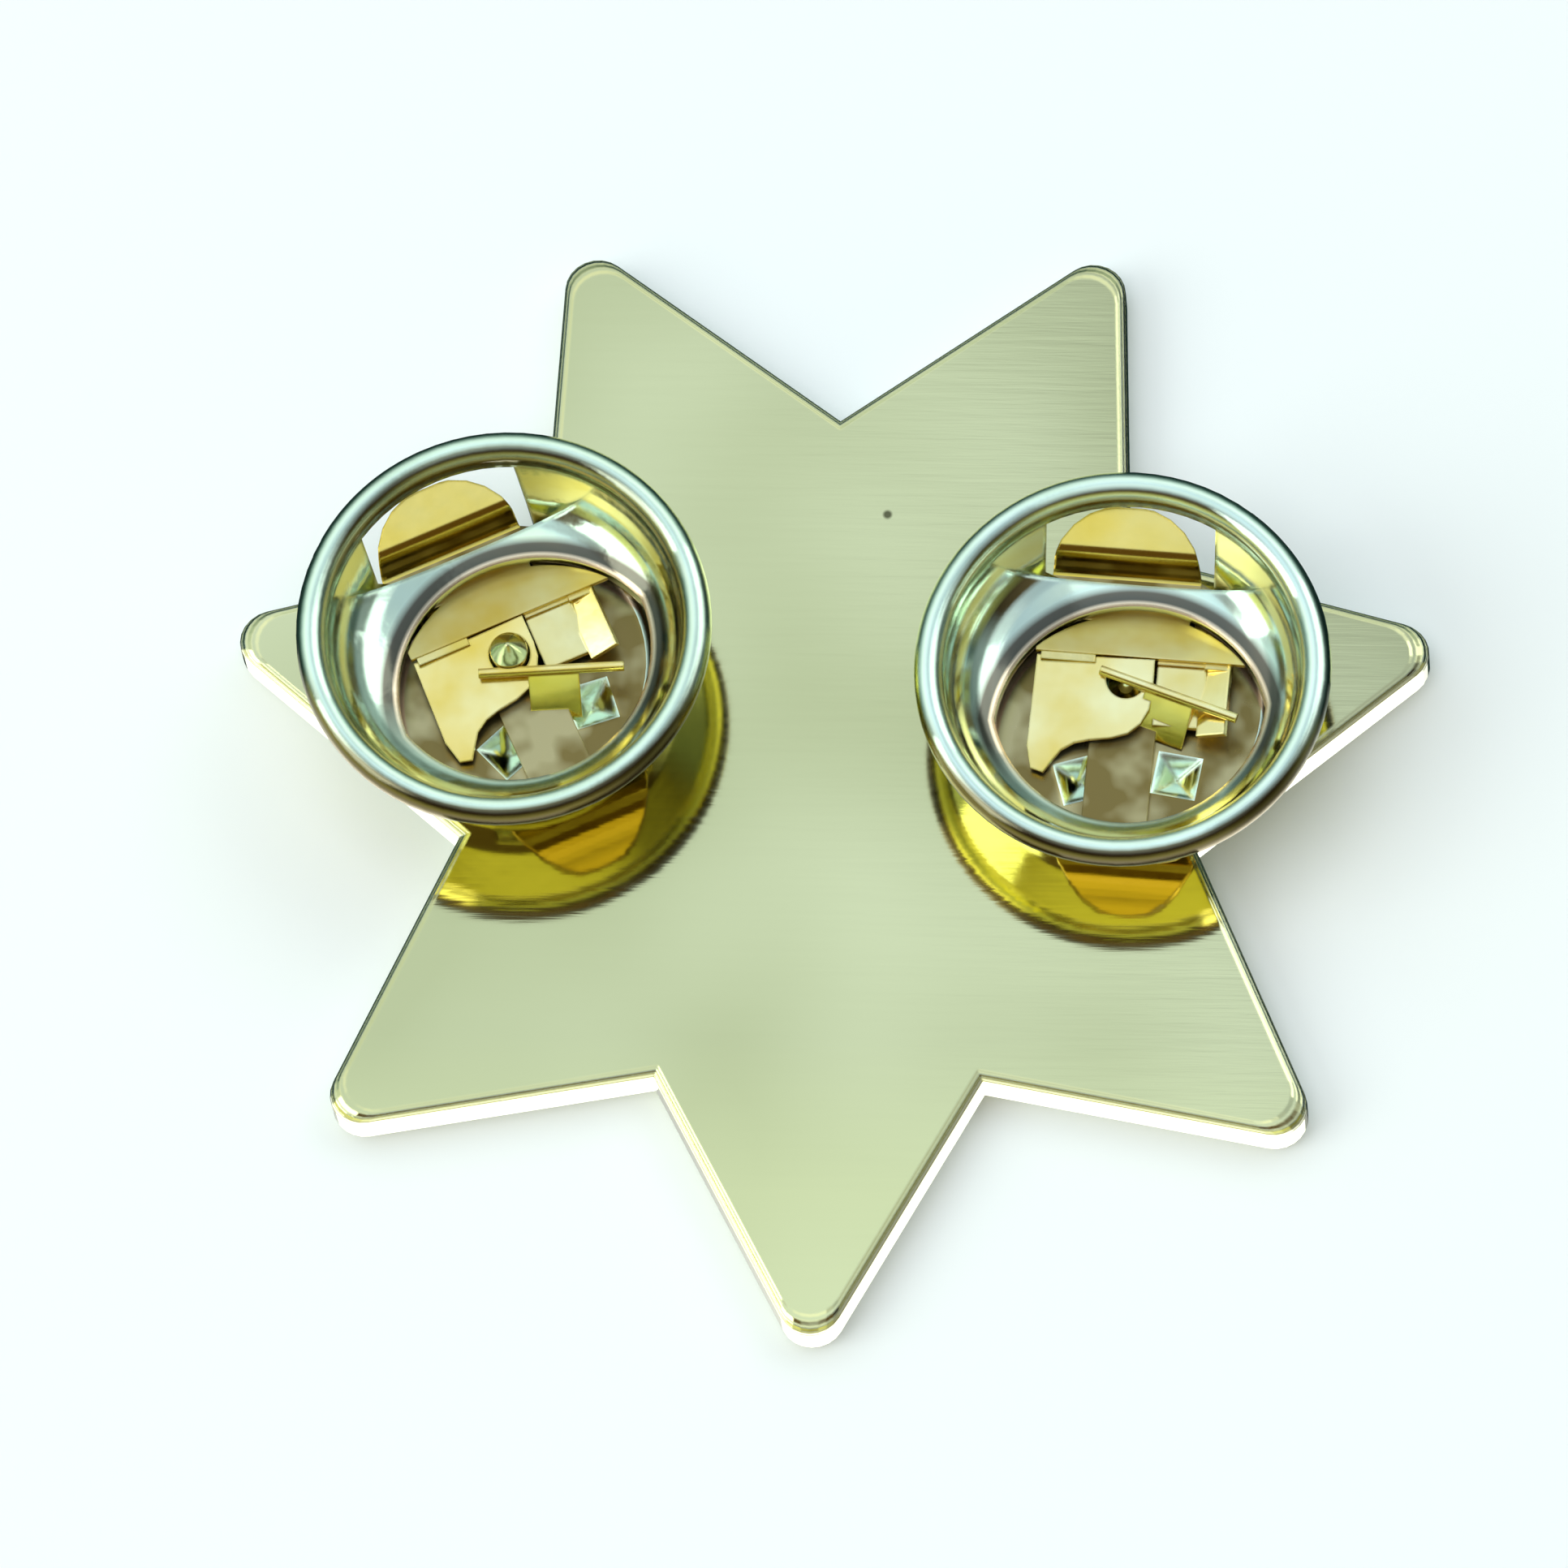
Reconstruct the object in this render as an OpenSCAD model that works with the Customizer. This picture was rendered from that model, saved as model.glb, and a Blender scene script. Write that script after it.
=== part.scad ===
/* [Star plate] */
// Circumradius of the star with its tips still sharp
star_r = 17.85; // [14:0.05:24]
// Length of the star as a share of the length of a regular one
star_squash = 0.976; // [0.96:0.002:1]
// Radius at the inner corners as a share of the circumradius
inner_share = 0.582; // [0.5:0.002:0.66]
// Number of star points
star_points = 7; // [5:1:9]
// Thickness of the struck plate
plate_t = 1.3; // [1:0.05:2]
// Rounding of the tips seen from the back
tip_round = 0.9; // [0.5:0.05:1.2]
// Width of the softened back edge
edge_soft = 0.28; // [0.1:0.01:0.3]

/* [Posts] */
// Left post centre, across the star
post_left_x = -8.74; // [-9.5:0.01:-8]
// Left post centre, along the star
post_left_y = 2.36; // [1:0.01:3]
// Right post centre, across the star
post_right_x = 8.2; // [7.5:0.01:9]
// Right post centre, along the star
post_right_y = 2.02; // [1:0.01:3]
// Diameter of the posts
post_d = 1.04; // [0.8:0.01:1.05]
// Height of the left post above the back of the plate
post_left_h = 2.75; // [2:0.05:2.8]
// Height of the right post above the back of the plate
post_right_h = 1.45; // [1.3:0.05:1.45]
// Length of the pointed tip of a post
tip_len = 0.5; // [0.3:0.05:0.8]

/* [Clutch caps] */
// Outside diameter of the rolled brim
brim_d = 11.4; // [11.2:0.05:12]
// Thickness of the rolled brim
brim_bead = 0.8; // [0.6:0.02:0.9]
// Height of the middle of the brim above the spikes
brim_h = 3.4; // [3.3:0.02:3.6]
// Sheet thickness of the cap
sheet_t = 0.24; // [0.2:0.01:0.28]
// Half length of the mouth of the cap
mouth_half = 3.72; // [3.6:0.01:3.75]
// Half width of the mouth of the cap
mouth_rise = 3.2; // [3.1:0.01:3.25]
// How far the mouth sits off the middle of the cap, across
mouth_x = 0.2; // [0:0.01:0.22]
// How far the mouth sits off the middle of the cap, towards its near side
mouth_off = 0.65; // [0.6:0.01:0.68]
// Turn of the mouth in the cap
mouth_turn = 8; // [4:1:10]
// Diameter of the hole for the post
floor_hole_d = 2.4; // [2.3:0.05:2.5]
// How far the right clutch hangs off the centre of its post
right_sag = 0.46; // [0.4:0.01:0.5]
// Turn of the left clutch about its post
turn_left = 25; // [0:1:45]
// Turn of the right clutch about its post
turn_right = -4; // [-20:1:20]
// Gap between the spikes and the back of the plate
seat_gap = 0.1; // [0.05:0.01:0.3]
// How much higher the left clutch sits than the right one
left_lift = 0.48; // [0:0.02:0.5]

/* [Clutch springs] */
// Sheet thickness of the spring
spring_t = 0.2; // [0.16:0.01:0.22]
// Width of a wing
wing_w = 4.2; // [4:0.05:4.25]
// Reach of a wing from the middle of the clutch
wing_reach = 5.15; // [5.05:0.05:5.25]

/* [Hidden] */
curve_fn = 96;
bite = 0.02;
cut_top = 5;

// Star outline
step_deg = 360 / star_points;
start_deg = -90;
inner_r = star_r * inner_share;
tip_half = atan(inner_r * sin(step_deg / 2) / (star_r - inner_r * cos(step_deg / 2)));
edge_reach = star_r * sin(tip_half);
tip_centre_r = star_r - tip_round / sin(tip_half);
tip_arc = 90 - tip_half;
tip_steps = 8;
edge_steps = 4;

// Post details
post_sink = 0.4;
foot_w = 0.2;
foot_edge = 0.03;
tip_blunt = 0.06;

// Cap wall and brim, from the spike tips up
floor_z = 0.26;
floor_top = floor_z + sheet_t;
collar_r = 4.1;
collar_bend = 0.3;
wall_low_r = 4.4;
wall_low_z = 1.5;
throat_r = 4.98;
throat_z = brim_h - 0.22;
throat_top = [throat_r, throat_z + sheet_t * 0.9];
bead_r = brim_d / 2 - brim_bead / 2;
collar_steps = 3;

// Inside of the cap below its ledge
inside_gap = 0.1;
inside_high = [wall_low_r - sheet_t - inside_gap, wall_low_z - inside_gap];
inside_low = [collar_r - sheet_t, floor_top + inside_gap];
inside_floor_r = collar_r - sheet_t - 0.16;

// Cap ledge, a soft bend from the throat down to the mouth
bend_high = [4.65, brim_h - 1.45];
bend_low = [4.2, 1.6];
ledge_end = [2.3, 1.42];
bend_steps = 10;

// Mouth and its turned lip
mouth_arc_r = (mouth_half * mouth_half + mouth_rise * mouth_rise) / (2 * mouth_rise);
mouth_shift = mouth_arc_r - mouth_rise;
lip_low = 1.12;
lip_high = 1.4;
lip_w = 0.16;

// Window in the ledge and the ways out for the wings
window_y = 3.14;
window_z = 1.5;
window_lean = 9;
window_low_z = 1.05;
window_low_r = 3.96;
window_top_z = 2.95;
window_top_r = 4.92;
exit_x = -0.2;
exit_half = 2.32;
exit_start = 2.7;
exit_reach = 3.5;
exit_roof = 1.04;
exit_tall_y = 3.34;
exit_tall_z = 2.98;

// Spikes
spike_half = 0.95;
dent_half = 0.9;
dent_z = 0.1;
spike_r = 2.5;
spike_turn = 32;
spike_skew = 7;

// Spring levels, from the spike tips up
root_z = 0.56;
leaf_z = 1.35;
leaf_left_y = 0.88;
leaf_right_y = 1.04;
leaf_x = 0.4;
leaf_foot_y = 2.4;
leaf_foot_z = 0.8;
leaf_foot_len = 0.2;
leaf_foot_rise = 0.06;
leaf_root_y = 3;
leaf_half = 2.95;
leaf_gap = 0.08;
bar_left_y = -0.62;
bar_left_turn = -21;
bar_right_y = 0.34;
bar_right_turn = -16;
bar_z = 1.6;
bar_r = 0.14;
bore_left_top = 3;
bar_x = -0.85;
bar_len = 4;
bore_right_top = 1.4;
post_clear = 0.05;

// Upper jaw, with a hooked edge from its left foot round to its right side
jaw_z = 1.15;
jaw_dip = 9;
jaw_roll = -4;
jaw_left = -2.5;
jaw_right = 0.76;
jaw_hook = [[-2.6, -1.5], [-2.45, -2.15], [-2.1, -2.25], [-1.9, -1.95], [-1.65, -1.6], [-1.3, -1.38],
            [-0.9, -1.28], [-0.3, -1.2], [0.15, -1.05], [0.5, -0.75], [0.7, -0.35], [jaw_right, 0.1]];
jaw_root = [1.5, 0.3, 0.45];
jaw_root_x = -2.4;

// Lower jaw, a strip that leans back from the bar to its foot
lower_jaw_x = 0.5;
lower_jaw_w = 1.4;
lower_foot_y = -1.05;
lower_foot_w = 0.15;

// Web between the leaf and the near side, with a flap at its right
web_x = 0.8;
web_w = 1.35;
web_z = 1.1;
web_near_y = -0.7;
web_drop = 0.1;
web_lap = 0.1;
flap_x = 2.1;
flap_w = 0.85;
flap_z = web_z - spring_t;
flap_near_y = -0.95;
flap_far = 0.3;
flap_lean = 24;
flap_join = [0.72, 0.3];
flap_over = 0.05;
neck_w = 1.8;
neck_end = 0.6;

// Wings
wing_x = -0.3;
far_wing_y = 3.2;
near_wing_y = 3.5;
wing_steps = 8;
wing_mid_z = root_z + spring_t / 2;
far_knee = [4.08, 1.76];
near_knee = [4.9, 1.8];
far_tip = [wing_reach - far_knee[0], 0.38];
near_tip = [wing_reach - near_knee[0], 0.45];
far_path = [[3.55, wing_mid_z], [4, wing_mid_z + 0.06], [3.7, 1.63], far_knee, far_tip];
near_path = [[3.8, wing_mid_z], [4.45, wing_mid_z], [4.7, 1.44], near_knee, near_tip];
wing_root_half = 1.85;
wing_round = 1.95;
round_steps = 6;

function bend(p, t) =
    pow(1 - t, 3) * p[0] + 3 * t * pow(1 - t, 2) * p[1] + 3 * t * t * (1 - t) * p[2] + pow(t, 3) * p[3];

function tip_point(k, i) =
    let (way = start_deg + k * step_deg, turn = way + tip_arc * (2 * i / tip_steps - 1))
    [tip_centre_r * cos(way) + tip_round * cos(turn),
     (tip_centre_r * sin(way) + tip_round * sin(turn)) * star_squash];

function corner_point(k) =
    let (way = start_deg + (k + 0.5) * step_deg)
    [inner_r * cos(way), inner_r * sin(way) * star_squash];

function edge_inset(i) = edge_soft * (1 - cos(90 * i / edge_steps));

function edge_rise(i) = edge_soft * sin(90 * i / edge_steps);

// Up to wing_steps along the bend of the path, and one step more along its straight end
function wing_mid(path, i) = bend(path, min(i / wing_steps, 1)) + path[4] * max(i - wing_steps, 0);

function wing_corner(i, side) =
    let (turn = 90 * i / round_steps)
    [side * (wing_w / 2 - wing_round + wing_round * cos(turn)), wing_reach - wing_round * (1 - sin(turn))];

function wing_skin(path, i, side) =
    let (low = wing_mid(path, max(i - 0.1, 0)),
         high = wing_mid(path, min(i + 0.1, wing_steps + 1)),
         way = high - low)
    wing_mid(path, i) + [-way[1], way[0]] / norm(way) * side * spring_t / 2;

function collar_point(i) =
    let (turn = 90 * i / collar_steps)
    [collar_r - collar_bend * (1 - sin(turn)), floor_z + collar_bend * (1 - cos(turn))];

module star_outline() {
    polygon([for (k = [0:star_points - 1], i = [0:tip_steps + 1])
        i <= tip_steps ? tip_point(k, i) : corner_point(k)]);
}

module edge_layer(i) {
    low = (edge_reach - edge_inset(i)) / edge_reach;
    high = (edge_reach - edge_inset(i + 1)) / edge_reach;
    translate([0, 0, plate_t - edge_soft + edge_rise(i) - bite])
        linear_extrude(height = edge_rise(i + 1) - edge_rise(i) + bite, scale = high / low)
            scale(low) star_outline();
}

module post(x, y, h) {
    r = post_d / 2;
    translate([x, y, plate_t])
        rotate_extrude($fn = 48)
            polygon([[0, -post_sink], [r + foot_w, -post_sink], [r + foot_w, foot_edge], [r, foot_w],
                     [r, h - tip_len], [tip_blunt, h - tip_blunt / 2], [0, h]]);
}

module star_plate() {
    color("gold") union() {
        linear_extrude(height = plate_t - edge_soft) star_outline();
        for (i = [0:edge_steps - 1]) edge_layer(i);
        post(post_left_x, post_left_y, post_left_h);
        post(post_right_x, post_right_y, post_right_h);
    }
}

module cap_shell() {
    rotate_extrude($fn = curve_fn)
        polygon(concat(
            [[0, floor_z]],
            [for (i = [0:collar_steps]) collar_point(i)],
            [[wall_low_r, wall_low_z], [throat_r + sheet_t, throat_z - inside_gap],
             [bead_r, throat_z], [bead_r, throat_z + sheet_t]],
            [for (i = [0:bend_steps]) bend([throat_top, bend_high, bend_low, ledge_end], i / bend_steps)],
            [[ledge_end[0], ledge_end[1] - sheet_t], inside_high, inside_low, [inside_floor_r, floor_top],
             [0, floor_top]]));
    translate([0, 0, brim_h])
        rotate_extrude($fn = curve_fn)
            translate([bead_r, 0])
                circle(d = brim_bead, $fn = 24);
}

module mouth_lens(less, low, high) {
    tall = high - low;
    translate([mouth_x, -mouth_off, low])
        rotate([0, 0, mouth_turn])
            intersection() {
                translate([0, mouth_shift, 0])
                    cylinder(r = mouth_arc_r - less, h = tall, $fn = curve_fn);
                translate([0, -mouth_shift, 0])
                    cylinder(r = mouth_arc_r - less, h = tall, $fn = curve_fn);
            }
}

module cap() {
    color("goldenrod")
        difference() {
            union() {
                cap_shell();
                mouth_lens(-lip_w, lip_low, lip_high);
                for (side = [0, 180], turn = [-spike_turn, spike_turn])
                    rotate([0, 0, side + turn + spike_skew]) spike();
            }
            mouth_lens(0, lip_low - bite, cut_top);
            window_cut();
            for (side = [0, 180]) {
                rotate([0, 0, side]) exit_cut(exit_start, exit_roof);
                for (turn = [-spike_turn, spike_turn])
                    rotate([0, 0, side + turn + spike_skew]) dent();
            }
            exit_cut(exit_tall_y, exit_tall_z);
            cylinder(d = floor_hole_d, h = floor_top + bite, $fn = 48);
        }
}

module window_cut() {
    intersection() {
        translate([0, window_y, window_z])
            rotate([window_lean, 0, 0])
                translate([-brim_d / 2, 0, -1])
                    cube([brim_d, brim_d / 2, cut_top]);
        translate([0, 0, window_low_z])
            cylinder(r1 = window_low_r, r2 = window_top_r, h = window_top_z - window_low_z, $fn = curve_fn);
    }
}

module exit_cut(start_y, roof) {
    translate([exit_x - exit_half, start_y, floor_top])
        cube([exit_half * 2, exit_reach, roof - floor_top]);
}

module spike() {
    translate([0, -spike_r, 0])
        cylinder(r1 = bite, r2 = spike_half, h = floor_z + bite / 2, $fn = 4);
}

module dent() {
    translate([0, -spike_r, dent_z])
        cylinder(r1 = bite, r2 = dent_half, h = floor_top - dent_z + bite / 2, $fn = 4);
}

module spring(leaf_y, bar_y, bar_turn, post_y, bore_top) {
    color("darkgoldenrod")
        difference() {
            union() {
                wing(far_wing_y, far_path);
                far_leaf(leaf_y);
                upper_jaw(leaf_y);
                lower_jaw(bar_y, bar_turn);
                web(leaf_y);
                neck();
                rotate([0, 0, 180]) wing(near_wing_y, near_path);
            }
            translate([0, post_y, 0]) cylinder(d = post_d + 2 * post_clear, h = bore_top, $fn = 48);
        }
}

module strip(half_w, profile) {
    translate([-half_w, 0, 0])
        rotate([90, 0, 90])
            linear_extrude(height = half_w * 2) polygon(profile);
}

module wing(start_y, path) {
    translate([wing_x, 0, 0])
        intersection() {
            strip(wing_w / 2 + 1, concat(
                [[start_y, root_z]],
                [for (i = [0:wing_steps + 1]) wing_skin(path, i, -1)],
                [for (i = [wing_steps + 1:-1:0]) wing_skin(path, i, 1)],
                [[start_y, root_z + spring_t]]));
            linear_extrude(height = cut_top)
                polygon(concat(
                    [[-wing_root_half, start_y - 1]],
                    [for (i = [0:round_steps]) wing_corner(i, -1)],
                    [for (i = [round_steps:-1:0]) wing_corner(i, 1)],
                    [[wing_root_half, start_y - 1]]));
        }
}

module far_leaf(leaf_y) {
    slope = [[far_wing_y + bite, root_z], [leaf_root_y, root_z], [leaf_foot_y, leaf_foot_z],
             [leaf_y, leaf_z], [leaf_y, leaf_z + spring_t], [leaf_foot_y, leaf_foot_z + spring_t],
             [leaf_root_y, root_z + spring_t], [far_wing_y + bite, root_z + spring_t]];
    foot_end = leaf_foot_y - leaf_foot_len;
    foot_z = leaf_foot_z + leaf_foot_rise;
    translate([wing_x, 0, 0])
        strip(wing_root_half, [[far_wing_y + bite, root_z], [leaf_root_y, root_z], [leaf_foot_y, leaf_foot_z],
                               [foot_end, foot_z], [foot_end, foot_z + spring_t],
                               [leaf_foot_y, leaf_foot_z + spring_t], [leaf_root_y, root_z + spring_t],
                               [far_wing_y + bite, root_z + spring_t]]);
    intersection() {
        translate([leaf_x, 0, 0]) strip(leaf_half, slope);
        mouth_lens(leaf_gap, 0, cut_top);
    }
}

module upper_jaw(leaf_y) {
    translate([0, 0, jaw_z])
        rotate([jaw_dip, jaw_roll, 0])
            linear_extrude(height = spring_t)
                polygon(concat([[jaw_left, leaf_y]], jaw_hook, [[jaw_right, leaf_y]]));
    translate([jaw_root_x, leaf_y - jaw_root[1] * 0.75, jaw_z - spring_t / 2])
        cube(jaw_root);
}

module lower_jaw(bar_y, bar_turn) {
    intersection() {
        rotate([0, 0, bar_turn])
            translate([0, bar_y, 0]) {
                translate([lower_jaw_x, 0, 0])
                    rotate([90, 0, 90])
                        linear_extrude(height = lower_jaw_w)
                            polygon([[-bar_r * 0.6, bar_z], [bar_r * 0.6, bar_z], [bar_r / 3, bar_z - spring_t],
                                     [lower_foot_y + spring_t * 1.25, root_z + spring_t],
                                     [lower_foot_y + lower_foot_w, root_z], [lower_foot_y, root_z]]);
                translate([bar_x, 0, bar_z])
                    rotate([0, 90, 0])
                        cylinder(r = bar_r, h = bar_len, $fn = 24);
            }
        mouth_lens(leaf_gap, 0, cut_top);
    }
}

module web(leaf_y) {
    translate([web_x, 0, 0])
        rotate([90, 0, 90])
            linear_extrude(height = web_w)
                polygon([[web_near_y, web_z - web_drop], [leaf_y - web_lap, web_z + web_drop],
                         [leaf_y - web_lap, leaf_z], [leaf_y + web_lap, leaf_z], [leaf_y + web_lap, web_z],
                         [web_near_y, web_z - web_drop - spring_t]]);
    translate([flap_x, flap_near_y, flap_z])
        rotate([0, -flap_lean, 0])
            cube([flap_w, leaf_y + flap_far - flap_near_y, spring_t]);
    translate([flap_x, leaf_y - flap_join[1] / 2, flap_z])
        cube([flap_join[0], flap_join[1], leaf_z - flap_z + flap_over]);
}

module neck() {
    translate([-neck_w / 2, -near_wing_y - bite, root_z])
        cube([neck_w, near_wing_y - neck_end, spring_t]);
}

module at_left() {
    translate([post_left_x, post_left_y, plate_t + seat_gap + left_lift])
        rotate([0, 0, turn_left]) children();
}

module at_right() {
    translate([post_right_x, post_right_y, plate_t + seat_gap])
        rotate([0, 0, turn_right])
            translate([0, -right_sag, 0]) children();
}

star_plate();
at_left() cap();  // clutch_cap_left
at_left() spring(leaf_left_y, bar_left_y, bar_left_turn, 0, bore_left_top);  // clutch_spring_left
at_right() cap();  // clutch_cap_right
at_right() spring(leaf_right_y, bar_right_y, bar_right_turn, right_sag, bore_right_top);  // clutch_spring_right
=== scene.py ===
import math
import bpy
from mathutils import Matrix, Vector

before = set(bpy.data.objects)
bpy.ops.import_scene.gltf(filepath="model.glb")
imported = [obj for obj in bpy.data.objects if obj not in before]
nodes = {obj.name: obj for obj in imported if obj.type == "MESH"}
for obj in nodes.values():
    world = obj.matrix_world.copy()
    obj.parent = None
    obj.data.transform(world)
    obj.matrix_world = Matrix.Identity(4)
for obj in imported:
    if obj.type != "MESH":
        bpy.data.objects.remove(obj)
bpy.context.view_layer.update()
scene = bpy.context.scene
print("frame loaded")


def mm(size):
    # millimetres to Blender's metres
    return size / 1000


def perMm(size):
    # texture scale that repeats about once in this many millimetres
    return 1000 / size


def hexLinear(code):
    # sRGB hex to the linear values that shaders want
    channels = [int(code[i:i + 2], 16) / 255 for i in (0, 2, 4)]
    return (*(c / 12.92 if c <= 0.04045 else ((c + 0.055) / 1.055) ** 2.4 for c in channels), 1)


def addNode(tree, kind, sockets=None, stops=None, **settings):
    # one node with its settings, a value or a link for each socket, and a ramp's stops; gives its outputs
    node = tree.nodes.new(kind)
    for name, value in settings.items():
        setattr(node, name, value)
    for socket, value in (sockets or {}).items():
        if isinstance(value, bpy.types.NodeSocket):
            tree.links.new(value, node.inputs[socket])
        else:
            node.inputs[socket].default_value = value
    if stops:
        points = node.color_ramp.elements
        for point, (place, code) in ((points[0], stops[0]), (points[1], stops[-1])):
            point.position, point.color = place, hexLinear(code)
        for place, code in stops[1:-1]:
            points.new(place).color = hexLinear(code)
    return node.outputs


def newMaterial(name):
    material = bpy.data.materials.new(name)
    material.use_nodes = True
    material.node_tree.nodes.clear()
    return material, material.node_tree


# about 70 degrees above the table, with a long lens; metres, degrees and millimetres
view = {"place": (0.02465, -0.13245, 0.37033), "turn": (19.733, 3.326, 1.910), "lens": 328.3,
        "sensor": 36, "nearest": 0.01}

camera = bpy.data.objects.new("camera", bpy.data.cameras.new("camera"))
scene.collection.objects.link(camera)
camera.location = view["place"]
camera.rotation_euler = [math.radians(angle) for angle in view["turn"]]
camera.data.lens = view["lens"]
camera.data.sensor_width = view["sensor"]
camera.data.clip_start = view["nearest"]
scene.camera = camera
print("camera set")


# gold-plated brass, struck, tumbled and lightly rubbed: pale champagne gold that leans to green under
# the cool light, with fine rubbing across it and a soft mirror image of the clutches
plate = {
    "clouds": [(0.35, "D2CC98"), (0.7, "E8E1AE")], "cloudMm": 9,  # slow change of tone
    # rubbing runs left to right; the real lines are too fine to show, so these are drawn coarser
    "rubbingMm": (4, 0.19, 1.1), "rubbingDepth": 0.18,
    "rough": (0.05, 0.12), "bevelMm": 0.08,
    "fleckTone": "6E6A4C", "fleckAt": (1.4, 7.3, 1.3), "fleckMm": (0.16, 0.08),
    # painted reflection: the lower points are painted a paler tone
    "pointSheenTone": "FAF2B0", "pointSheenShare": 0.45, "pointSheenMm": (-8, -12.5),  # begins and is full there, by Y
    # painted highlight: the steep side wall is painted a near-white tone
    "wallHighlightTone": "F2FAEA", "wallHighlightShare": 0.8, "wallTopMm": (1.36, 1.32),
}


def plateMetal(name, look):
    material, tree = newMaterial(name)
    coords = addNode(tree, "ShaderNodeTexCoord")["Object"]
    place = addNode(tree, "ShaderNodeSeparateXYZ", {0: coords})
    normal = addNode(tree, "ShaderNodeSeparateXYZ", {0: addNode(tree, "ShaderNodeNewGeometry")["Normal"]})
    clouds = addNode(tree, "ShaderNodeTexNoise", {
        "Vector": coords, "Scale": perMm(look["cloudMm"]), "Detail": 1})["Fac"]
    tone = addNode(tree, "ShaderNodeValToRGB", {"Fac": clouds}, stops=look["clouds"])["Color"]

    # one dark fleck above the middle, where the plating missed
    fleckGap = addNode(tree, "ShaderNodeVectorMath", {
        0: coords, 1: [mm(v) for v in look["fleckAt"]]}, operation="DISTANCE")["Value"]
    fleck = addNode(tree, "ShaderNodeMapRange", {
        "Value": fleckGap, "From Min": mm(look["fleckMm"][0]), "From Max": mm(look["fleckMm"][1])})[0]
    tone = addNode(tree, "ShaderNodeMixRGB", {
        "Fac": fleck, "Color1": tone, "Color2": hexLinear(look["fleckTone"])})[0]

    # the lower points are painted brighter: a painted reflection of the bright surroundings
    point = addNode(tree, "ShaderNodeMapRange", {
        "Value": place["Y"], "From Min": mm(look["pointSheenMm"][0]), "From Max": mm(look["pointSheenMm"][1]),
        "To Max": look["pointSheenShare"]})[0]
    tone = addNode(tree, "ShaderNodeMixRGB", {
        "Fac": point, "Color1": tone, "Color2": hexLinear(look["pointSheenTone"])})[0]

    # the side wall is painted pale: a painted highlight, as bright as the white paper; the posts above it
    # stay gold
    steep = addNode(tree, "ShaderNodeMapRange", {
        "Value": normal["Z"], "From Min": 0.9, "From Max": 0.6, "To Max": look["wallHighlightShare"]})[0]
    belowTop = addNode(tree, "ShaderNodeMapRange", {
        "Value": place["Z"], "From Min": mm(look["wallTopMm"][0]), "From Max": mm(look["wallTopMm"][1])})[0]
    wallHighlight = addNode(tree, "ShaderNodeMath", {0: steep, 1: belowTop}, operation="MULTIPLY")[0]
    tone = addNode(tree, "ShaderNodeMixRGB", {
        "Fac": wallHighlight, "Color1": tone, "Color2": hexLinear(look["wallHighlightTone"])})[0]

    # the rubbing is in the gloss and, very shallow, in the surface
    stretched = addNode(tree, "ShaderNodeMapping", {
        "Vector": coords, "Scale": [perMm(v) for v in look["rubbingMm"]]})[0]
    rubbing = addNode(tree, "ShaderNodeTexNoise", {
        "Vector": stretched, "Scale": 1, "Detail": 3, "Roughness": 0.6})["Fac"]
    rough = addNode(tree, "ShaderNodeMapRange", {
        "Value": rubbing, "To Min": look["rough"][0], "To Max": look["rough"][1]})[0]
    softEdge = addNode(tree, "ShaderNodeBevel", {"Radius": mm(look["bevelMm"])}, samples=4)[0]
    bump = addNode(tree, "ShaderNodeBump", {
        "Height": rubbing, "Normal": softEdge, "Strength": look["rubbingDepth"], "Distance": mm(0.01)})[0]
    shader = addNode(tree, "ShaderNodeBsdfPrincipled", {
        "Base Color": tone, "Roughness": rough, "Normal": bump, "Metallic": 1})
    addNode(tree, "ShaderNodeOutputMaterial", {"Surface": shader[0]})
    return material


starPlate = plateMetal("gold-plated brass, struck, tumbled and lightly rubbed", plate)
print("metal of the plate made")


# the mouth of a cap, where the sheet is folded down, with a painted highlight and a painted shade line along
# the fold; millimetres and degrees
mouth = {
    "half": 3.72, "rise": 3.2, "turn": 8,
    "lineMm": 0.62, "softMm": 0.22,
    # across the fold: a pale painted highlight, then dark painted shade
    "line": [(0, "C8A07C"), (0.16, "F4D6B4"), (0.3, "46362A"), (0.6, "503F34"), (1, "8C7C6C")],
    "share": (0.2, 0.9), "fadeMm": (-3, -1),  # how strong on the near and far side, and where that changes
}


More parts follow.
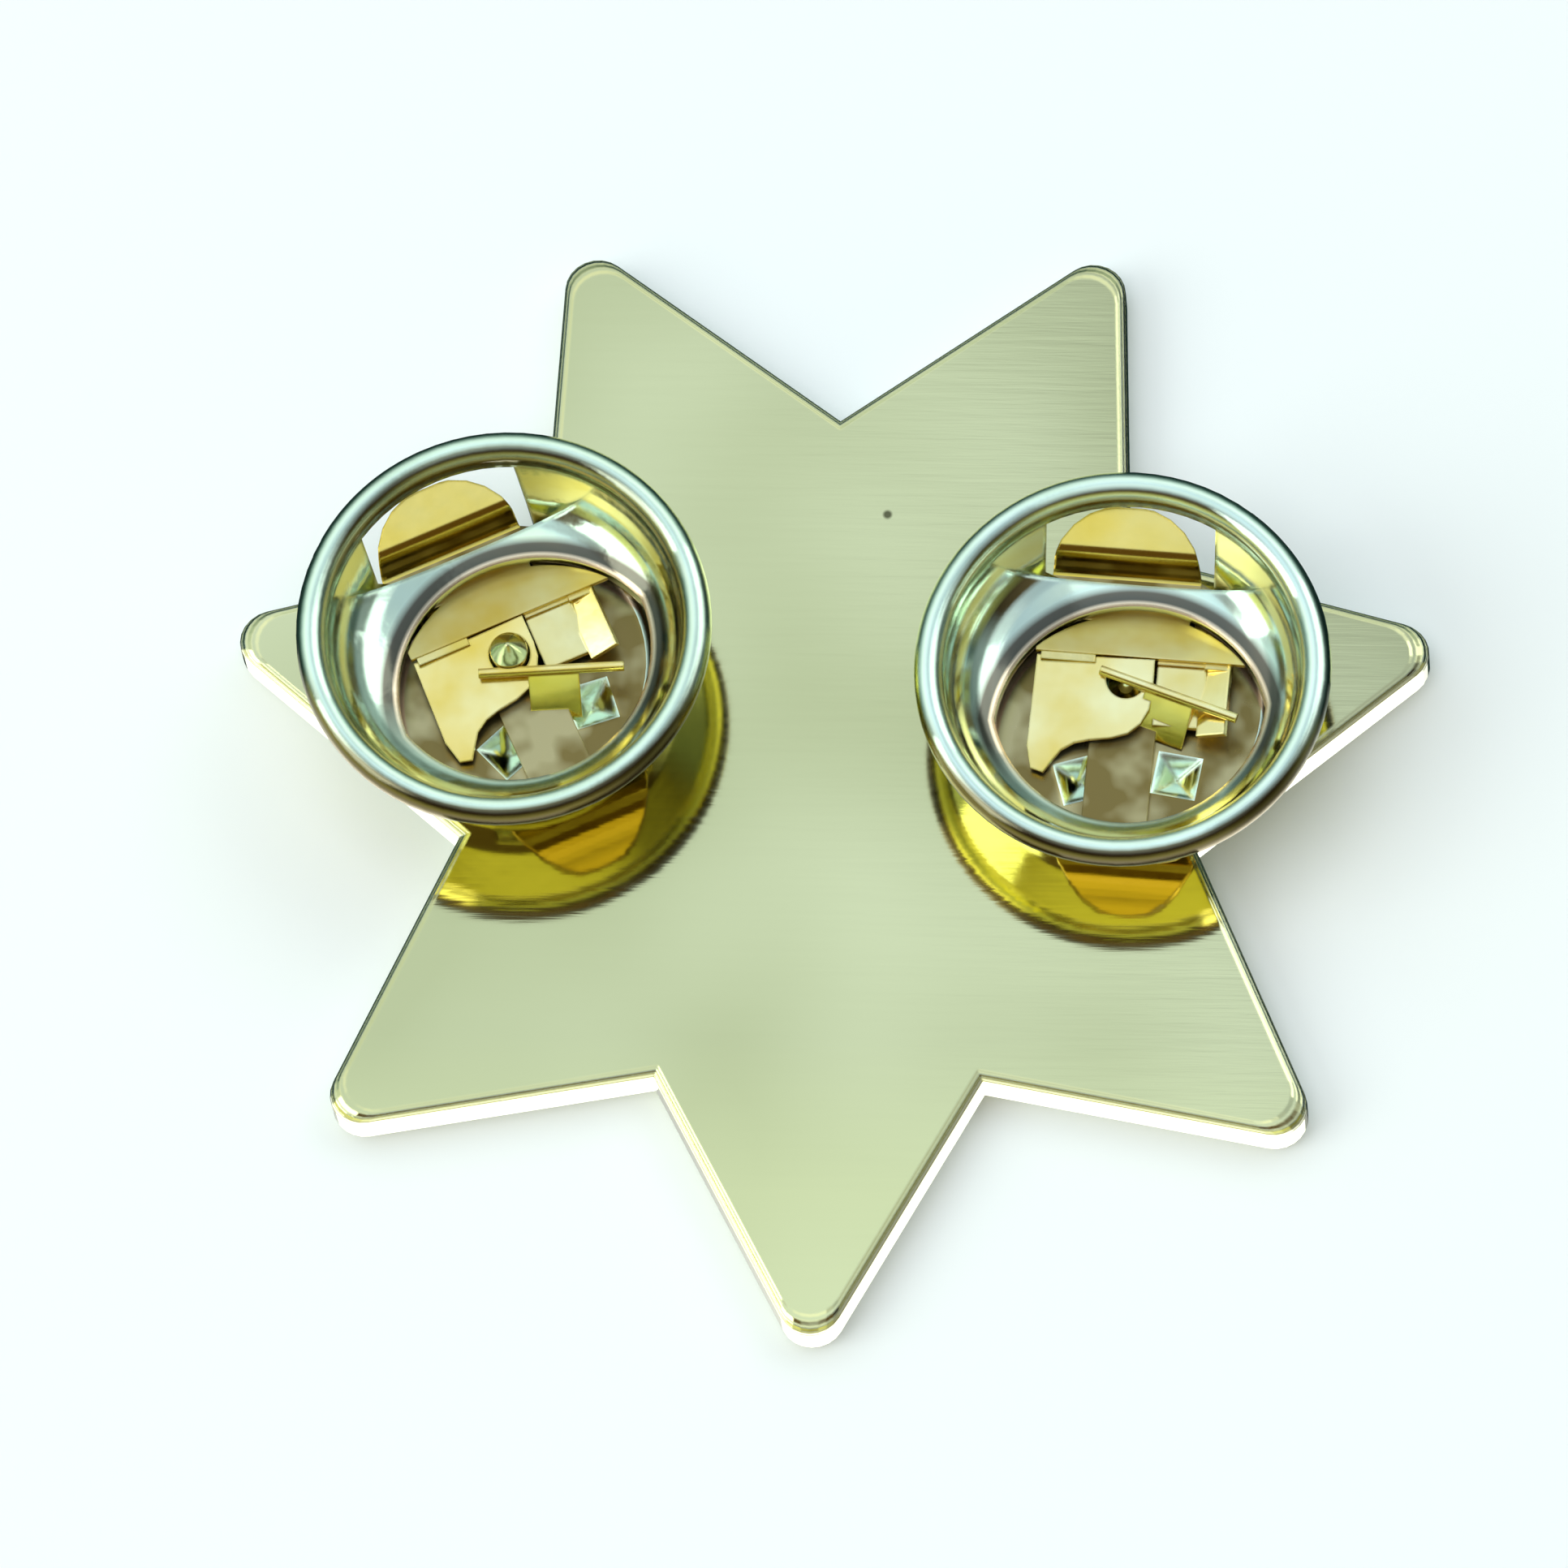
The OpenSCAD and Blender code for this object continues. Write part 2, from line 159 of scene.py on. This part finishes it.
def paintedMouthShading(tree, coords, along, facing, tone, cap):
    # the mouth is where two circles overlap, so the larger distance from their middles follows its edge
    radius = (mouth["half"] ** 2 + mouth["rise"] ** 2) / (2 * mouth["rise"])
    cross = math.radians(cap["turn"] + mouth["turn"] + 90)
    fromAbove = addNode(tree, "ShaderNodeVectorMath", {0: coords, 1: (1, 1, 0)}, operation="MULTIPLY")[0]
    gaps = []
    for way in (-1, 1):
        reach = way * (radius - mouth["rise"])
        middle = (mm(cap["x"] + reach * math.cos(cross)), mm(cap["y"] + reach * math.sin(cross)), 0)
        gaps.append(addNode(tree, "ShaderNodeVectorMath", {
            0: fromAbove, 1: middle}, operation="DISTANCE")["Value"])
    gap = addNode(tree, "ShaderNodeMath", {0: gaps[0], 1: gaps[1]}, operation="MAXIMUM")[0]
    edge, lineEnd = mm(radius), mm(radius + mouth["lineMm"])
    line = addNode(tree, "ShaderNodeMapRange", {"Value": gap, "From Min": edge, "From Max": lineEnd})[0]
    # painted highlight and painted shade across the fold
    foldShadeAndHighlight = addNode(tree, "ShaderNodeValToRGB", {"Fac": line}, stops=mouth["line"])["Color"]

    # fades on the ledge, and stays off the floor that is seen through the mouth and off steep sheet
    masks = [
        addNode(tree, "ShaderNodeMapRange", {
            "Value": gap, "From Min": lineEnd, "From Max": lineEnd - mm(mouth["softMm"])})[0],
        addNode(tree, "ShaderNodeMapRange", {
            "Value": gap, "From Min": edge - mm(0.1), "From Max": edge - mm(0.04)})[0],
        addNode(tree, "ShaderNodeMapRange", {"Value": facing, "From Min": 0.1, "From Max": 0.4})[0],
        # weaker on the near side
        addNode(tree, "ShaderNodeMapRange", {
            "Value": along,
            "From Min": mm(cap["y"] + mouth["fadeMm"][0]), "From Max": mm(cap["y"] + mouth["fadeMm"][1]),
            "To Min": mouth["share"][0], "To Max": mouth["share"][1]})[0],
    ]
    mask = masks[0]
    for other in masks[1:]:
        mask = addNode(tree, "ShaderNodeMath", {0: mask, 1: other}, operation="MULTIPLY")[0]
    return addNode(tree, "ShaderNodeMixRGB", {"Fac": mask, "Color1": tone, "Color2": foldShadeAndHighlight})[0]


# what the sheet of caps and springs has in common: slow clouds, painted shade in spots on the dull floor,
# painted shade at the brim
sheet = {"cloudMm": 2.4, "shadeSpots": ("8A7646", "C2B284"), "spotMm": 1.4, "floorRough": 0.2, "brimShade": "5C4A26"}


def clutchMetal(name, look):
    material, tree = newMaterial(name)
    coords = addNode(tree, "ShaderNodeTexCoord")["Object"]
    place = addNode(tree, "ShaderNodeSeparateXYZ", {0: coords})
    normal = addNode(tree, "ShaderNodeSeparateXYZ", {0: addNode(tree, "ShaderNodeNewGeometry")["Normal"]})
    clouds = addNode(tree, "ShaderNodeTexNoise", {
        "Vector": coords, "Scale": perMm(sheet["cloudMm"]), "Detail": 3})["Fac"]
    tone = addNode(tree, "ShaderNodeValToRGB", {"Fac": clouds}, stops=look["clouds"])["Color"]

    # the upper faces are painted pale and silvery, a painted highlight of the cool light from above; the
    # faces turned down are painted yellow
    upperHighlight = addNode(tree, "ShaderNodeMapRange", {"Value": normal["Z"], "From Min": -0.25, "From Max": 0.2})[0]
    tone = addNode(tree, "ShaderNodeMixRGB", {
        "Fac": upperHighlight, "Color1": hexLinear(look["under"]), "Color2": tone})[0]

    if "near" in look:
        # sheet that leans to the near side is painted a deeper yellow: painted shade where it faces the dark
        # near side of the tent
        nearFacingShade = addNode(tree, "ShaderNodeMapRange", {
            "Value": normal["Y"], "From Min": -0.12, "From Max": -0.4, "To Max": 0.8})[0]
        tone = addNode(tree, "ShaderNodeMixRGB", {
            "Fac": nearFacingShade, "Color1": tone, "Color2": hexLinear(look["near"])})[0]

    # the flat floor deep inside is painted mottled brown, painted shade at the bottom of the cup, and it is
    # made rougher
    flat = addNode(tree, "ShaderNodeMapRange", {
        "Value": normal["Z"], "From Min": 0.985, "From Max": 0.995})[0]
    deep = addNode(tree, "ShaderNodeMapRange", {
        "Value": place["Z"],
        "From Min": mm(look["floorTopMm"] + 0.06), "From Max": mm(look["floorTopMm"])})[0]
    shadedDullFloor = addNode(tree, "ShaderNodeMath", {0: flat, 1: deep}, operation="MULTIPLY")[0]
    shadeSpots = addNode(tree, "ShaderNodeTexNoise", {
        "Vector": coords, "Scale": perMm(sheet["spotMm"]), "Detail": 2})["Fac"]
    shadeSpots = addNode(tree, "ShaderNodeMapRange", {"Value": shadeSpots, "From Min": 0.42, "From Max": 0.62})[0]
    floorShade = addNode(tree, "ShaderNodeMixRGB", {
        "Fac": shadeSpots, "Color1": hexLinear(sheet["shadeSpots"][0]), "Color2": hexLinear(sheet["shadeSpots"][1])})[0]
    tone = addNode(tree, "ShaderNodeMixRGB", {"Fac": shadedDullFloor, "Color1": tone, "Color2": floorShade})[0]

    # the underside of the brim and its near outer side are painted dark brown as painted shade:
    # a dark brown line along it and along its mirror image
    brim = addNode(tree, "ShaderNodeMath", {
        0: place["Z"], 1: mm(look["brimMm"])}, operation="GREATER_THAN")[0]
    underside = addNode(tree, "ShaderNodeMapRange", {
        "Value": normal["Z"], "From Min": -0.05, "From Max": -0.3})[0]
    outward = addNode(tree, "ShaderNodeMapRange", {
        "Value": normal["Y"], "From Min": -0.04, "From Max": -0.32})[0]
    nearSide = addNode(tree, "ShaderNodeMapRange", {
        "Value": place["Y"], "From Min": mm(2), "From Max": mm(-2),
        "To Min": look["brimShade"], "To Max": 0.9})[0]
    outward = addNode(tree, "ShaderNodeMath", {0: outward, 1: nearSide}, operation="MULTIPLY")[0]
    brimShade = addNode(tree, "ShaderNodeMath", {0: underside, 1: outward}, operation="MAXIMUM")[0]
    brimShade = addNode(tree, "ShaderNodeMath", {0: brim, 1: brimShade}, operation="MULTIPLY")[0]
    tone = addNode(tree, "ShaderNodeMixRGB", {
        "Fac": brimShade, "Color1": tone, "Color2": hexLinear(sheet["brimShade"])})[0]

    if "mouth" in look:
        # a painted highlight on the fold round the mouth, and a dark painted shade line beside it
        tone = paintedMouthShading(tree, coords, place["Y"], normal["Z"], tone, look["mouth"])

    # waves left by the stamping, and under them the grain of the plated sheet
    waves = addNode(tree, "ShaderNodeTexNoise", {
        "Vector": coords, "Scale": perMm(look["waveMm"]), "Detail": 1})["Fac"]
    grain = addNode(tree, "ShaderNodeTexNoise", {
        "Vector": coords, "Scale": perMm(look["grainMm"]), "Detail": 2})["Fac"]
    softEdge = addNode(tree, "ShaderNodeBevel", {"Radius": mm(look["bevelMm"])}, samples=4)[0]
    bump = addNode(tree, "ShaderNodeBump", {
        "Height": waves, "Normal": softEdge, "Strength": look["waveDepth"], "Distance": mm(0.05)})[0]
    bump = addNode(tree, "ShaderNodeBump", {
        "Height": grain, "Normal": bump, "Strength": look["grainDepth"], "Distance": mm(0.02)})[0]

    # the dull floor is rougher, and sheet that leans to the far side was brushed matt
    rough = addNode(tree, "ShaderNodeMapRange", {
        "Value": grain, "To Min": look["rough"][0], "To Max": look["rough"][1]})[0]
    rough = addNode(tree, "ShaderNodeMath", {
        0: shadedDullFloor, 1: sheet["floorRough"], 2: rough}, operation="MULTIPLY_ADD")[0]
    away = addNode(tree, "ShaderNodeMapRange", {"Value": normal["Y"], "From Min": 0.2, "From Max": 0.25})[0]
    rough = addNode(tree, "ShaderNodeMath", {
        0: away, 1: look["brushed"], 2: rough}, operation="MULTIPLY_ADD")[0]
    shader = addNode(tree, "ShaderNodeBsdfPrincipled", {
        "Base Color": tone, "Roughness": rough, "Normal": bump, "Metallic": 1})
    addNode(tree, "ShaderNodeOutputMaterial", {"Surface": shader[0]})
    return material


# stamped brass with a pale gold flash; its upper faces are painted bright and silvery as a painted highlight,
# and soft highlights run round the rolled brim.
# The grain of the sheet is too fine to show, so it is drawn coarser, here and on the springs
rightCap = {
    "under": "E6E27C", "clouds": [(0.3, "E6F6E2"), (0.7, "F0FFF0")], "rough": (0.05, 0.12), "brushed": 0,
    "bevelMm": 0.2, "floorTopMm": 2.62, "brimMm": 4.46, "brimShade": 0.3,
    "waveMm": 3, "waveDepth": 0.25, "grainMm": 0.38, "grainDepth": 0.06,
    "mouth": {"x": 8.322, "y": 0.899, "turn": -4},
}
# the same from a worn tool: pitted brim, broken highlights, and it sits higher
leftCap = {
    **rightCap, "clouds": [(0.3, "DEEED6"), (0.7, "ECFCE6")], "rough": (0.06, 0.16),
    "brimMm": 4.94, "brimShade": 0.7, "waveMm": 2.2, "waveDepth": 0.45, "grainMm": 0.45, "grainDepth": 0.26,
    "mouth": {"x": -8.284, "y": 1.855, "turn": 25},
}
# brass spring sheet: warmer and thinner plating, so the yellow brass shows through
rightSpring = {
    # the near colour is painted shade on sheet that faces the near side
    "under": "E4C65C", "clouds": [(0.3, "EECC60"), (0.7, "FFF2BC")], "near": "E8C648", "rough": (0.1, 0.2),
    "brushed": 0.35, "bevelMm": 0.08, "floorTopMm": 2.3, "brimMm": 4.9, "brimShade": 0,
    "waveMm": 2.5, "waveDepth": 0.5, "grainMm": 0.33, "grainDepth": 0.08,
}
# it sits higher too, and so does its root, where the floor shade is painted
leftSpring = {**rightSpring, "floorTopMm": 2.76, "brimMm": 5.4}

metals = {
    "star_plate": starPlate,
    "clutch_cap_right": clutchMetal("stamped brass cap, pale gold flash plating, bright", rightCap),
    "clutch_cap_left": clutchMetal("stamped brass cap, pale gold flash plating, pitted", leftCap),
    "clutch_spring_right": clutchMetal("brass spring sheet, thin gold flash, right", rightSpring),
    "clutch_spring_left": clutchMetal("brass spring sheet, thin gold flash, left", leftSpring),
}
for name, material in metals.items():
    for slot in nodes[name].material_slots:
        slot.material = material
print("metals of the clutches made")


# matt white paper under the pin: plain white, without sheen
paper = {"half": 1.5, "tone": "F7F7F7", "rough": 0.9}

half = paper["half"]
floorMesh = bpy.data.meshes.new("floor")
corners = [(-half, -half, 0), (half, -half, 0), (half, half, 0), (-half, half, 0)]
floorMesh.from_pydata(corners, [], [(0, 1, 2, 3)])
floor = bpy.data.objects.new("floor", floorMesh)
scene.collection.objects.link(floor)
paperMaterial, tree = newMaterial("matt white paper")
shader = addNode(tree, "ShaderNodeBsdfPrincipled", {
    "Base Color": hexLinear(paper["tone"]), "Roughness": paper["rough"]})
addNode(tree, "ShaderNodeOutputMaterial", {"Surface": shader[0]})
floorMesh.materials.append(paperMaterial)
floor.visible_glossy = False  # the tent's dark lower edge shows in the metal, not the paper
print("floor laid")


# square soft lights aimed at the pin; metres and watts, and whether the metal mirrors the lamp
lamps = {
    "leftWindow": {
        "place": (-0.5, -0.18, 0.42), "size": 0.4, "power": 1.6, "color": (0.88, 1, 1), "inMetal": True},
    "rightTop": {
        "place": (0.34, 0.24, 0.46), "size": 0.3, "power": 0.3, "color": (0.88, 1, 1), "inMetal": True},
    "fill": {  # lights the paper only, up to a plain white
        "place": (-0.1, -0.1, 0.8), "size": 0.6, "power": 2, "color": (1, 0.97, 0.95), "inMetal": False},
}

for name, lamp in lamps.items():
    data = bpy.data.lights.new(name, "AREA")
    data.shape = "RECTANGLE"
    data.size = data.size_y = lamp["size"]
    data.energy = lamp["power"]
    data.color = lamp["color"]
    light = bpy.data.objects.new(name, data)
    scene.collection.objects.link(light)
    light.location = lamp["place"]
    light.rotation_euler = (-Vector(lamp["place"])).to_track_quat("-Z", "Y").to_euler()
    light.visible_glossy = lamp["inMetal"]
print("lights set")


# light tent, which is what the metal mirrors: pale cool ceiling all round; the far wall is dim and
# greenish down to the table, on the near side a dark brown band hangs over the bright front of the table.
# Heights go from straight down (0) over the horizon (0.5) to straight up (1)
tent = {
    "farWall": [(0.4, "1A2A28"), (0.56, "3A5650"), (0.74, "B2CAC8"), (0.86, "F0FFFF"), (0.93, "E6F8FF"),
                (0.96, "CFE5F5")],
    "nearWall": [(0.3, "FAF8EE"), (0.5, "ECE9A0"), (0.64, "D2D27C"), (0.72, "4A3C28"), (0.9, "5A4C34"),
                 (0.965, "CFE5F5"), (0.99, "F0FFFF")],
    "burnt": (1.4, 1.4, 1.3, 1),  # added below the pin
    "rightCeiling": 0.6, "rightWall": 0.3,  # how bright they are beside the rest
    "strength": 1.25,
}

world = bpy.data.worlds.new("studio")
world.use_nodes = True
tree = world.node_tree
direction = addNode(tree, "ShaderNodeTexCoord")["Generated"]
axes = addNode(tree, "ShaderNodeSeparateXYZ", {0: direction})
height = addNode(tree, "ShaderNodeMapRange", {"Value": axes["Z"], "From Min": -1, "From Max": 1})[0]
nearWall = addNode(tree, "ShaderNodeValToRGB", {"Fac": height}, stops=tent["nearWall"])["Color"]
farWall = addNode(tree, "ShaderNodeValToRGB", {"Fac": height}, stops=tent["farWall"])["Color"]
farSide = addNode(tree, "ShaderNodeMapRange", {"Value": axes["Y"], "From Min": -0.15, "From Max": 0.1})[0]
glow = addNode(tree, "ShaderNodeMixRGB", {"Fac": farSide, "Color1": nearWall, "Color2": farWall})[0]

# the paper right under the pin catches the lamps and is burnt out
below = addNode(tree, "ShaderNodeMapRange", {"Value": axes["Z"], "From Min": -0.45, "From Max": -0.85})[0]
near = addNode(tree, "ShaderNodeMapRange", {"Value": axes["Y"], "From Min": 0.28, "From Max": 0.14})[0]
burnt = addNode(tree, "ShaderNodeMath", {0: below, 1: near}, operation="MULTIPLY")[0]
glow = addNode(tree, "ShaderNodeMixRGB", {
    "Fac": burnt, "Color1": glow, "Color2": tent["burnt"]}, blend_type="ADD")[0]

# the right end of the ceiling is dimmer and shows in the two right-hand tips
slant = addNode(tree, "ShaderNodeVectorMath", {
    0: direction, 1: (1, 0.5, 0)}, operation="DOT_PRODUCT")["Value"]
right = addNode(tree, "ShaderNodeMapRange", {"Value": slant, "From Min": 0.13, "From Max": 0.145})[0]
overhead = addNode(tree, "ShaderNodeMapRange", {"Value": axes["Z"], "From Min": 0.86, "From Max": 0.9})[0]
rightCeiling = addNode(tree, "ShaderNodeMath", {0: right, 1: overhead}, operation="MULTIPLY")[0]
rightCeiling = addNode(tree, "ShaderNodeMapRange", {
    "Value": rightCeiling, "To Min": 1, "To Max": tent["rightCeiling"]})[0]
# and so is the right wall, which shows in the left flanks of both bowls
rightWall = addNode(tree, "ShaderNodeMapRange", {
    "Value": axes["X"], "From Min": 0.5, "From Max": 0.78, "To Min": 1, "To Max": tent["rightWall"]})[0]
dimming = addNode(tree, "ShaderNodeMath", {0: rightCeiling, 1: rightWall}, operation="MULTIPLY")[0]
glow = addNode(tree, "ShaderNodeMixRGB", {
    "Fac": 1, "Color1": glow, "Color2": dimming}, blend_type="MULTIPLY")[0]

background = tree.nodes["Background"]
tree.links.new(glow, background.inputs["Color"])
background.inputs["Strength"].default_value = tent["strength"]
scene.world = world
scene.view_settings.view_transform = "Standard"
print("tent set")
